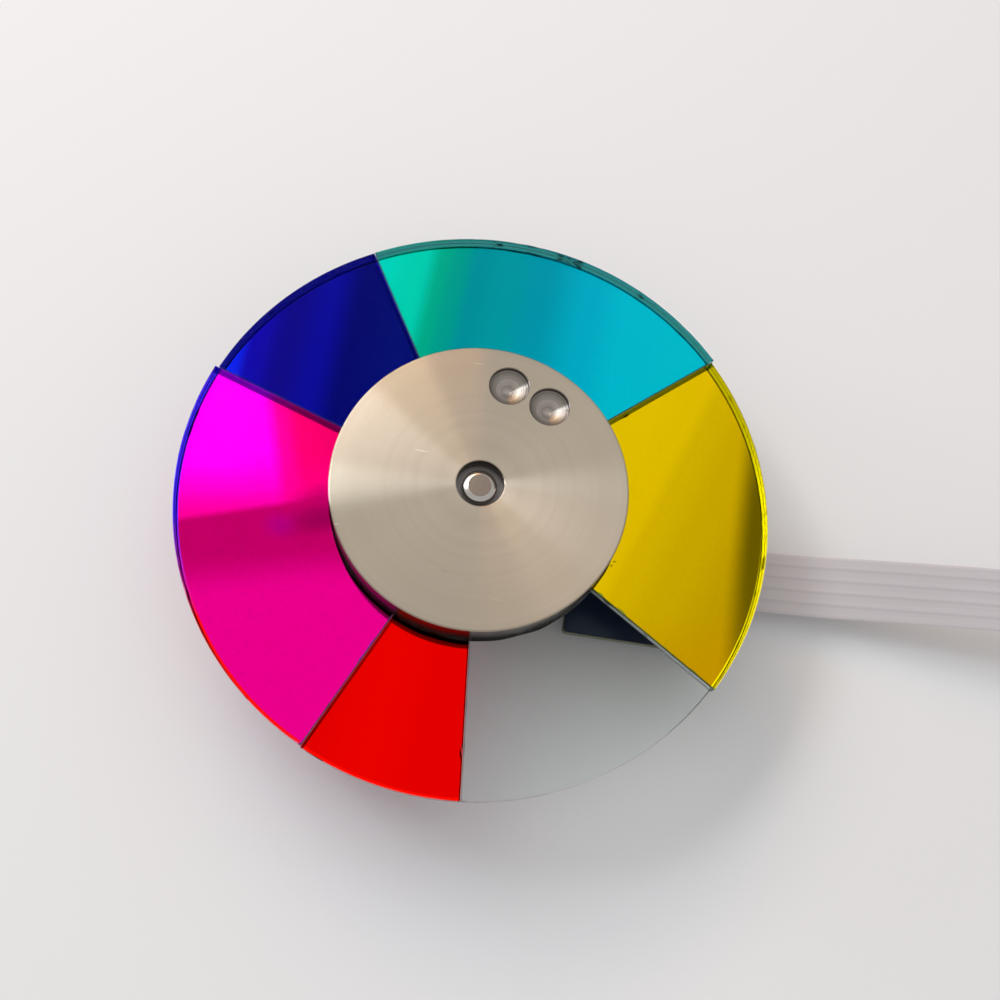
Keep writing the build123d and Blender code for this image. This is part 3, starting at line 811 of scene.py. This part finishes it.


# Coloured glass. Six sectors are scribed and broken from sheets 1.1 mm thick, so their edges are
# seamed unevenly and chipped in places. A dichroic coating on the underside reflects one colour
# like a mirror; its colour is painted with soft shifts of hue and with the light and dark streaks of
# reflections, and its rim with a bright painted glow. The broken sides are painted with a coloured
# glow of the light piped along the glass. The last sector only has an anti-reflection coating.
wheel_radius = 22.0
joint_gap = 0.08
first_edge = -32.2
glass_sheets = [
    ("filter_yellow", 72.3, 0.20, 0.0),
    ("filter_cyan", 80.3, 0.24, 0.0),
    ("filter_blue", 41.4, -0.10, 0.15),
    ("filter_magenta", 83.0, 0.25, 0.0),
    ("filter_red", 30.3, 0.0, 0.06),
    ("filter_clear", 52.7, 0.0, 0.08),
]
rim_seam = 0.05
side_seam = 0.03
hole_seam = 0.02
seam_fall = 0.6
seam_waver = 0.15
rim_chip, side_chip = 0.12, 0.4
chip_level = 0.42
lower_break = 0.02


def sector_outline(start, span, rim_middle, rim_radius, step=0.14):
    """Points round a sector, anticlockwise in mm, each with the inward direction and its seam's width."""

    def side(angle, inward):
        """Ends and inward direction of one straight side."""
        way = Vector((cos(angle), sin(angle)))
        normal = Vector((-sin(angle), cos(angle))) * inward
        foot = normal * joint_gap / 2
        inner = foot + way * sqrt(glass_hole ** 2 - foot.length_squared)
        lead = foot - rim_middle
        reach = -lead.dot(way) + sqrt(lead.dot(way) ** 2 - lead.length_squared + rim_radius ** 2)
        return inner, foot + way * reach, normal

    def straight(first, last, inward):
        count = round((last - first).length / step)
        return [(first.lerp(last, i / count), inward) for i in range(count + 1)]

    def arc(middle, radius, first, last, inward):
        count = round(radius * abs(last - first) / step)
        angles = [first + (last - first) * i / count for i in range(count + 1)]
        ways = [Vector((cos(angle), sin(angle))) for angle in angles]
        return [(middle + way * radius, way * inward) for way in ways]

    low_inner, low_outer, low_normal = side(radians(start), 1)
    high_inner, high_outer, high_normal = side(radians(start + span), -1)
    first, last = low_outer - rim_middle, high_outer - rim_middle
    rim_start, rim_end = atan2(first.y, first.x), atan2(last.y, last.x)
    rim_end += 2 * pi if rim_end < rim_start else 0.0
    hole_start, hole_end = atan2(high_inner.y, high_inner.x), atan2(low_inner.y, low_inner.x)
    hole_start += 2 * pi if hole_start < hole_end else 0.0
    runs = [
        (straight(low_inner, low_outer, low_normal), side_seam),
        (arc(rim_middle, rim_radius, rim_start, rim_end, -1), rim_seam),
        (straight(high_outer, high_inner, high_normal), side_seam),
        (arc(Vector((0, 0)), glass_hole, hole_start, hole_end, 1), hole_seam),
    ]
    points = []
    for (run, seam), (following, next_seam) in zip(runs, runs[1:] + runs[:1]):
        points += [(spot, inward, seam) for spot, inward in run[1:-1]]
        corner, inward = run[-1]
        thin = min(seam, next_seam)
        points.append((corner, (inward * next_seam + following[0][1] * seam) / thin, thin))
    return points


def seam_width(spot, width, seed):
    """Width of the seam ground and chipped along a sector's upper edge, in mm."""
    place = Vector((spot.x, spot.y, seed))
    fine = noise.noise(place * 2.1)
    chip = max(noise.noise(place * 0.9 + Vector((7.0, 3.0, 0.0))) - chip_level, 0.0)
    return width * (1 + seam_waver * fine) + (rim_chip if width == rim_seam else side_chip) * chip


def glass_mesh(name, outline, seed):
    """Slab of glass with an uneven seam round its top. Its underside takes the second material, its
    ground rim the third and its broken sides the fourth."""
    form = bmesh.new()
    loops = [[], [], [], []]
    for spot, inward, width in outline:
        seam = seam_width(spot, width, seed)
        profile = [(lower_break, glass_bottom), (0.0, glass_bottom + lower_break),
                   (0.0, glass_top - seam_fall * seam), (seam, glass_top)]
        for loop, (inset, height) in zip(loops, profile):
            place = spot + inward * inset
            loop.append(form.verts.new((place.x * MM, place.y * MM, height * MM)))
    for lower, upper in zip(loops, loops[1:]):
        for i in range(len(lower)):
            j = (i + 1) % len(lower)
            rim = min(outline[i][2], outline[j][2]) == rim_seam
            form.faces.new((lower[i], lower[j], upper[j], upper[i])).material_index = 2 if rim else 3
    form.faces.new(loops[0][::-1]).material_index = 1
    form.faces.new(loops[-1])
    bmesh.ops.recalc_face_normals(form, faces=form.faces)
    return mesh_of(name, form, 20.0)


def polished_glass(name):
    """Clear glass whose anti-reflection coating takes its mirror image away; dust dulls it in specks."""
    material, tree = empty_material(name)
    place = add(tree, "ShaderNodeTexCoord").outputs["Object"]
    dust = add(tree, "ShaderNodeTexNoise", {}, {"Vector": place, "Scale": 1 / (0.333 * MM), "Detail": 3.0})
    gloss = add(tree, "ShaderNodeMapRange", {},
                {"Value": dust, "From Min": 0.6, "From Max": 0.85, "To Min": 0.0, "To Max": 0.05})
    glass = add(tree, "ShaderNodeBsdfPrincipled", {}, {
        "Base Color": linear("#F8FDFC"), "Roughness": gloss, "Transmission Weight": 1.0, "IOR": 1.52,
        "Specular Tint": (0, 0, 0, 1)})
    return surface(material, glass)


def ground_edge(name, tint):
    """Frosted edge of a sector. From within the glass it shines as a tinted mirror; its tint is a
    painted glow, standing for the light that the coating turns sideways."""
    material, tree = empty_material(name)
    place = add(tree, "ShaderNodeTexCoord").outputs["Object"]
    grit = add(tree, "ShaderNodeTexNoise", {}, {"Vector": place, "Scale": 1 / (0.385 * MM), "Detail": 3.0})
    chips = add(tree, "ShaderNodeTexNoise", {}, {"Vector": place, "Scale": 1 / (1.613 * MM), "Detail": 4.0})
    gone = add(tree, "ShaderNodeMapRange", {}, {"Value": chips, "From Min": 0.6, "From Max": 0.68})
    tone = add(tree, "ShaderNodeMix", {"data_type": "RGBA"},
               {"Factor": gone, 6: linear(tint), 7: linear("#1C2222")})
    bump = add(tree, "ShaderNodeBump", {}, {"Height": grit, "Distance": 0.02 * MM, "Strength": 0.3})
    within = add(tree, "ShaderNodeNewGeometry").outputs["Backfacing"]
    frost = add(tree, "ShaderNodeBsdfPrincipled", {}, {
        "Base Color": tone.outputs[2], "Metallic": within, "Roughness": 0.2, "Transmission Weight": 0.85,
        "IOR": 1.52, "Specular IOR Level": 0.2, "Normal": bump})
    return surface(material, frost)


rim_band = (0.3, 0.24)
front_run = (-5, -12)


def dichroic_coating(name, lean, stops, painted_reflections_and_residue, painted_rim_glow, low_painted_rim_glow, rim_middle, rim_radius):
    """Mirror whose colour runs through stops along X, in mm, across lines that lean from X by an angle;
    each patch lays a soft colour over it: a place, a direction, two half axes, the share of them that
    is full, a colour and a strength. The stops and patches paint shifts of hue and the light and dark
    streaks of reflections. The outermost quarter of a millimetre fills the rim with a painted glow,
    which changes to another colour towards the front."""
    material, tree = empty_material(name)
    place = add(tree, "ShaderNodeTexCoord").outputs["Object"]
    upright = add(tree, "ShaderNodeVectorMath", {"operation": "DOT_PRODUCT"},
                  {0: place, 1: (1, -1 / tan(radians(lean)), 0)})
    first, last = stops[0][0], stops[-1][0]
    share = add(tree, "ShaderNodeMapRange", {},
                {"Value": upright.outputs["Value"], "From Min": first * MM, "From Max": last * MM})
    ramp = add(tree, "ShaderNodeValToRGB", {}, {0: share})
    ramp.color_ramp.interpolation = "EASE"
    ramp.color_ramp.elements.remove(ramp.color_ramp.elements[1])
    for number, (at, shade) in enumerate(stops):
        spot = (at - first) / (last - first)
        stop = ramp.color_ramp.elements[0] if number == 0 else ramp.color_ramp.elements.new(spot)
        stop.color = linear(shade)
    colour = ramp
    for (x, y), angle, (length, width), core, shade, strength in painted_reflections_and_residue:
        centred = add(tree, "ShaderNodeVectorMath", {"operation": "SUBTRACT"},
                      {0: place, 1: (x * MM, y * MM, 0)})
        turned = add(tree, "ShaderNodeVectorRotate", {"rotation_type": "Z_AXIS"},
                     {"Vector": centred, "Angle": radians(-angle)})
        scaled = add(tree, "ShaderNodeVectorMath", {"operation": "MULTIPLY"},
                     {0: turned, 1: (1 / length / MM, 1 / width / MM, 0)})
        away = add(tree, "ShaderNodeVectorMath", {"operation": "LENGTH"}, {0: scaled})
        share = add(tree, "ShaderNodeMapRange", {"interpolation_type": "SMOOTHSTEP"},
                    {"Value": away.outputs["Value"], "From Min": core, "From Max": 1.0,
                     "To Min": strength, "To Max": 0.0})
        colour = add(tree, "ShaderNodeMix", {"data_type": "RGBA"},
                     {"Factor": share, 6: colour, 7: linear(shade)}).outputs[2]
    centred = add(tree, "ShaderNodeVectorMath", {"operation": "SUBTRACT"},
                  {0: place, 1: (rim_middle.x * MM, rim_middle.y * MM, glass_bottom * MM)})
    away = add(tree, "ShaderNodeVectorMath", {"operation": "LENGTH"}, {0: centred})
    outermost = add(tree, "ShaderNodeMapRange", {}, {
        "Value": away.outputs["Value"], "From Min": (rim_radius - rim_band[0]) * MM,
        "From Max": (rim_radius - rim_band[1]) * MM})
    axes = add(tree, "ShaderNodeSeparateXYZ", {}, {0: place})
    front = add(tree, "ShaderNodeMapRange", {},
                {"Value": axes.outputs["Y"], "From Min": front_run[0] * MM, "From Max": front_run[1] * MM})
    hue = add(tree, "ShaderNodeMix", {"data_type": "RGBA"},
              {"Factor": front, 6: linear(painted_rim_glow), 7: linear(low_painted_rim_glow)})
    colour = add(tree, "ShaderNodeMix", {"data_type": "RGBA"},
                 {"Factor": outermost, 6: colour, 7: hue.outputs[2]}).outputs[2]
    mirror = add(tree, "ShaderNodeBsdfPrincipled", {},
                 {"Base Color": colour, "Metallic": 1.0, "Roughness": 0.05})
    return surface(material, mirror)


# Per sector: stops and patches that paint the light and dark streaks of reflections with the shifts of hue,
# the two tiny dark yellow patches being residue on the glass, then the painted rim glow and its colour at the
# front.
coatings = {
    "filter_yellow": (69, [
        (8.0, "#DAB500"), (12.0, "#D8B200"), (13.4, "#CCA700"), (17.0, "#C29D00"), (22.0, "#B69000")],
        [((16.0, -12.0), 20, (40, 6.0), 0.0, "#C08C00", 0.8),
         ((21.3, 1.0), 88, (30, 2.2), 0.1, "#645200", 1.0),
         ((10.78, -3.3), 12, (0.16, 0.07), 0.4, "#2E2600", 0.9),
         ((10.57, -3.64), 28, (0.13, 0.07), 0.4, "#2E2600", 0.9)],
        "#FFEA00", "#FFE600"),
    "filter_cyan": (87, [
        (-12.1, "#00CCB6"), (-8.2, "#00C4A6"), (-6.6, "#00A080"), (-5.3, "#009484"), (-3.7, "#008892"),
        (-1.0, "#008E98"), (1.6, "#008CA2"), (5.5, "#00A0BA"), (9.0, "#00AEC2"), (14.0, "#00B0C0")], [],
        "#48B8B8", "#48B8B8"),
    "filter_blue": (89, [
        (-21.2, "#1038FF"), (-20.0, "#0E20E0"), (-19.0, "#1208A4"), (-16.5, "#100880"), (-14.0, "#0A0A90"),
        (-11.6, "#060866"), (-8.0, "#050E6A")], [],
        "#1414A8", "#1414A8"),
    "filter_magenta": (108, [
        (-19.0, "#FE00FE"), (-15.7, "#FE00F0"), (-14.2, "#FD0096"), (-12.8, "#FB006C"), (-9.0, "#EA005E")],
        [((-14.0, -12.0), 8, (90, 13.5), 0.55, "#FE0088", 0.95),
         ((-10.9, -2.6), 20, (3.8, 2.4), 0.1, "#960048", 0.75),
         ((-11.75, -17.2), 18.6, (90, 14.7), 0.95, "#BE0060", 1.0),
         ((-10.9, -3.5), 20, (4.4, 1.6), 0.1, "#900048", 0.8),
         ((-13.06, -20.1), 15.4, (90, 13.75), 0.745, "#E60086", 1.0),
         ((-13.9, -4.5), 0, (1.8, 1.4), 0.0, "#B0008C", 0.5)],
        "#4026FF", "#F81010"),
    "filter_red": (85, [
        (-8.0, "#DC0100"), (-3.0, "#E40200"), (1.0, "#DE0100")], [],
        "#F80800", "#F80800"),
}
# Colours of a painted glow in the broken sides, standing for the light piped along the glass.
side_glow_tints = {
    "filter_yellow": "#609A38", "filter_cyan": "#2098B8", "filter_blue": "#3050FF",
    "filter_magenta": "#6420F0", "filter_red": "#B81414", "filter_clear": "#C4D0CE",
}
clear_glass = polished_glass("polished_glass")
coated_glass = polished_glass("anti_reflection_coated_underside")
ground_rim = ground_edge("ground_glass_rim", "#F0EEEA")
edge_angle = first_edge
for number, (node, span, askew, trim) in enumerate(glass_sheets):
    colour_name = node.split("_")[1]
    middle = radians(edge_angle + span / 2)
    rim_middle = Vector((askew * sin(middle), -askew * cos(middle)))
    rim_radius = wheel_radius - trim
    slab = glass_mesh(node, sector_outline(edge_angle, span, rim_middle, rim_radius), number * 5.0)
    coating = coated_glass
    if node in coatings:
        coating = dichroic_coating(colour_name + "_dichroic_coating", *coatings[node], rim_middle, rim_radius)
    sides = ground_edge("broken_sides_of_%s_glass" % colour_name, side_glow_tints[node])
    show("glass_" + colour_name, slab, "rotor",
         [clear_glass, coating, ground_rim, sides], [node])
    edge_angle += span


# Balance cap. Turned from aluminium bar and glued over the hub, with its top face cut in one fine
# spiral, so it shines in cones of light. Two shallow dimples were drilled into it to balance the
# wheel. It has the small scratches and pits of handling.
cap_break = 0.14
cap_hole = 1.73
hole_break = 0.06
cap_fit = 0.05
cap_outline = [
    (pilot_radius + cap_fit, cap_bottom),
    (cap_radius, cap_bottom),
    *corner_arc(cap_radius - cap_break, cap_top - cap_break, cap_break),
    (cap_hole + hole_break, cap_top),
    (cap_hole, cap_top - hole_break),
    (cap_hole, boss_top + cap_fit),
    (boss_radius + cap_fit, boss_top + cap_fit),
    (boss_radius + cap_fit, pilot_top + cap_fit),
    (pilot_radius + cap_fit, pilot_top + cap_fit),
]
dimple_radius = 1.48
dimple_wall = 0.42
dimple_circle = 8.05
dimple_angles = (58.2, 82.5)
dimple_slope = radians(118.0 / 2)
dimple_break = 0.08
break_over = 0.02
drill_reach = 0.4
dimple_outline = [
    (0, cap_top - dimple_wall - dimple_radius / tan(dimple_slope)),
    (dimple_radius, cap_top - dimple_wall),
    (dimple_radius, cap_top + break_over - dimple_break),
    (dimple_radius + dimple_break, cap_top + break_over),
    (dimple_radius + dimple_break, cap_top + drill_reach),
    (0, cap_top + drill_reach),
]
dimples = []
for number, angle in enumerate(dimple_angles):
    dimple = turned_mesh("dimple", dimple_outline, 0.02, 96)
    centre = (dimple_circle * cos(radians(angle)), dimple_circle * sin(radians(angle)))
    # The drilled walls take a darker colour of their own as painted shade in each dimple.
    dimple.materials.append(turned_metal(
        "drilled_aluminium_%d" % (number + 1), "#B4ACA2", "#78706A", 0.3, 0.26, 0.03, 0.88,
        painted_side_shade="#8A8078", side_roughness=0.25, axis=centre))
    place = Matrix.Translation((dimple_circle * MM, 0, 0))
    dimple.transform(Matrix.Rotation(radians(angle), 4, "Z") @ place)
    dimples.append(dimple)
# The cap's grey is tinted beige as a painted reflection of warm light, and its outer wall and bore take a
# dark colour of their own as painted shade.
cap_aluminium = turned_metal("faced_cap_aluminium", "#B6A998", "#ADA08E", 0.27, 0.3, 0.002, 1.0,
                             painted_side_shade="#6A6058", side_roughness=0.16, cone=0.05, wear=0.4)
cap_blank = turned_mesh("balance_cap", cap_outline, 0.03, 288)
cap_blank.materials.append(cap_aluminium)
show("balance_disc", cut_out("balance_cap", cap_blank, dimples), "rotor", [],
     ["balance_cap"])


# Floor, light and camera. A plain pale floor and white surroundings, a large soft lamp overhead and
# smaller ones to the left and behind, whose mirror images make the cap's bright wedges. The camera
# stands where the photograph was taken from.
floor_reach = 0.9
floor_mesh = bpy.data.meshes.new("floor")
corners = [(x * floor_reach, y * floor_reach, 0) for x, y in ((-1, -1), (1, -1), (1, 1), (-1, 1))]
floor_mesh.from_pydata(corners, [], [(0, 1, 2, 3)])
pale_floor, floor_tree = empty_material("pale_floor")
floor_mesh.materials.append(surface(pale_floor, add(
    floor_tree, "ShaderNodeBsdfPrincipled", {}, {"Base Color": linear("#E8E8E9"), "Roughness": 0.9})))
floor = linked("floor", floor_mesh)

sky_level = 0.52
mirrored_level = 0.56
background_lift = 0.4
world = bpy.data.worlds.new("studio")
bpy.context.scene.world = world
world.use_nodes = True
world.node_tree.nodes.clear()
path = add(world.node_tree, "ShaderNodeLightPath")
level = add(world.node_tree, "ShaderNodeMapRange", {},
            {"Value": path.outputs["Is Glossy Ray"], "To Min": sky_level, "To Max": mirrored_level})
level = add(world.node_tree, "ShaderNodeMath", {"operation": "MULTIPLY_ADD"},
            {0: path.outputs["Is Camera Ray"], 1: background_lift, 2: level})
sky = add(world.node_tree, "ShaderNodeBackground", {}, {"Color": (1, 1, 1, 1), "Strength": level})
add(world.node_tree, "ShaderNodeOutputWorld", {}, {"Surface": sky})


lamp_distance = 0.5
lamps = [
    ("overhead_lamp", 87, 70, 0.42, 0.55, "#FFFFFF"),
    ("left_lamp", 138, 42, 0.2, 5.5, "#FFF8F8"),
    ("left_edge_lamp", 159, 48, 0.1, 11.0, "#F0FAFF"),
    ("back_left_lamp", 116, 38, 0.12, 5.4, "#FFE2B8"),
    ("back_lamp", 101, 33, 0.12, 2.5, "#FFB060"),
    ("low_lamp", 172, 16, 0.1, 8.0, "#E4E8FF"),
]
for name, azimuth, elevation, size, brightness, colour in lamps:
    lamp = bpy.data.lights.new(name, "AREA")
    lamp.shape = "SQUARE"
    lamp.size = size
    lamp.energy = brightness * pi * size * size
    lamp.color = linear(colour)[:3]
    thing = linked(name, lamp)
    a, e = radians(azimuth), radians(elevation)
    thing.location = Vector((cos(a) * cos(e), sin(a) * cos(e), sin(e))) * lamp_distance
    thing.rotation_euler = thing.location.to_track_quat("Z", "Y").to_euler()

camera_place = Vector((-1.5494, -26.0801, 82.5679)) * MM
camera_aim = Vector((1.680, -0.173, 10.0)) * MM
camera_roll = radians(15.73)
view = (camera_aim - camera_place).normalized()
level_way = view.cross(Vector((0, 0, 1))).normalized()
right = level_way * cos(camera_roll) + level_way.cross(view) * sin(camera_roll)
camera_data = bpy.data.cameras.new("camera")
camera_data.lens = 37.45
camera_data.clip_start = 0.001
camera = linked("camera", camera_data)
turn = Matrix((right, right.cross(view), -view)).transposed().to_4x4()
camera.matrix_world = Matrix.Translation(camera_place) @ turn
bpy.context.scene.camera = camera
bpy.context.scene.view_settings.view_transform = "Standard"
